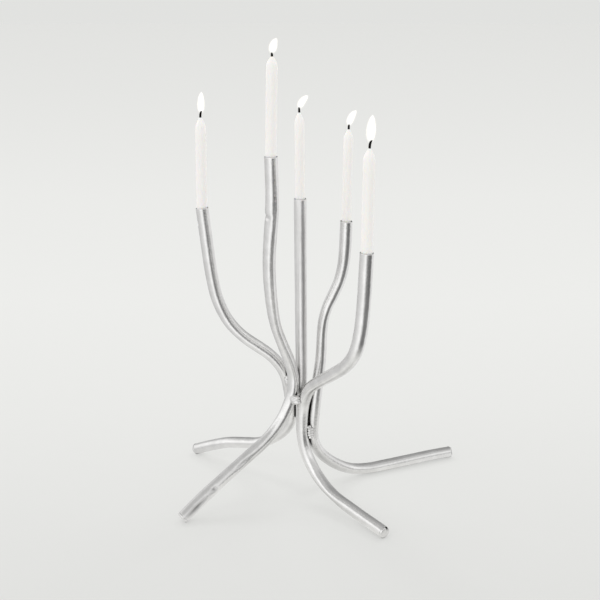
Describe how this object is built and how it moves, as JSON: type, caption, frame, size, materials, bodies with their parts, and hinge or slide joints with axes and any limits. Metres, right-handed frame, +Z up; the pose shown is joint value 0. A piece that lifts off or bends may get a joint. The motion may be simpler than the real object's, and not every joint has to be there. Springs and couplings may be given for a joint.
{
  "type": "candelabra",
  "caption": "Free-standing table candelabra of bent round aluminium tube: legs rise to a welded waist and branch into upright arms whose open tops hold tapered candles.",
  "frame": {"origin": "on the table, under the middle of the bounding box", "axes": "+Z up, +X to the right and +Y to the back, seen from the side on which the arms overlap least"},
  "size_m": [0.3894, 0.273, 0.5948],
  "materials": {
    "tube_aluminium": "hand-rubbed satin, lightly scratched and dented",
    "plug_aluminium": "filed satin",
    "weld_aluminium": "as-laid weld bead, lumpy and dull",
    "candle_wax": "smooth white candle wax, faintly translucent",
    "wick_cotton": "burnt cotton"
  },
  "bodies": {
    "frame": {"tube_left": "tube_aluminium", "tube_tall": "tube_aluminium", "tube_centre": "tube_aluminium", "tube_right": "tube_aluminium", "tube_front": "tube_aluminium", "candle_stop_left": "plug_aluminium", "candle_stop_tall": "plug_aluminium", "candle_stop_centre": "plug_aluminium", "candle_stop_right": "plug_aluminium", "candle_stop_front": "plug_aluminium", "foot_plug_left": "plug_aluminium", "foot_plug_tall": "plug_aluminium", "foot_plug_right": "plug_aluminium", "foot_plug_front": "plug_aluminium", "weld_front": "weld_aluminium", "weld_right": "weld_aluminium", "weld_left": "weld_aluminium", "weld_rear_left": "weld_aluminium", "weld_rear_right": "weld_aluminium", "weld_middle": "weld_aluminium"},
    "candle_left": {"candle_left": "candle_wax", "wick_left": "wick_cotton"},
    "candle_tall": {"candle_tall": "candle_wax", "wick_tall": "wick_cotton"},
    "candle_centre": {"candle_centre": "candle_wax", "wick_centre": "wick_cotton"},
    "candle_right": {"candle_right": "candle_wax", "wick_right": "wick_cotton"},
    "candle_front": {"candle_front": "candle_wax", "wick_front": "wick_cotton"}
  },
  "joints": [
    {"name": "lift_left", "type": "slide", "parent": "frame", "child": "candle_left", "axis": [0.0157, 0, 0.9999], "range_m": [0, 0.04]},
    {"name": "lift_tall", "type": "slide", "parent": "frame", "child": "candle_tall", "axis": [0.0209, 0, 0.9998], "range_m": [0, 0.04]},
    {"name": "lift_centre", "type": "slide", "parent": "frame", "child": "candle_centre", "axis": [-0.0105, 0, 0.9999], "range_m": [0, 0.04]},
    {"name": "lift_right", "type": "slide", "parent": "frame", "child": "candle_right", "axis": [0.0105, 0, 0.9999], "range_m": [0, 0.04]},
    {"name": "lift_front", "type": "slide", "parent": "frame", "child": "candle_front", "axis": [0.0035, 0, 1], "range_m": [0, 0.04]}
  ]
}
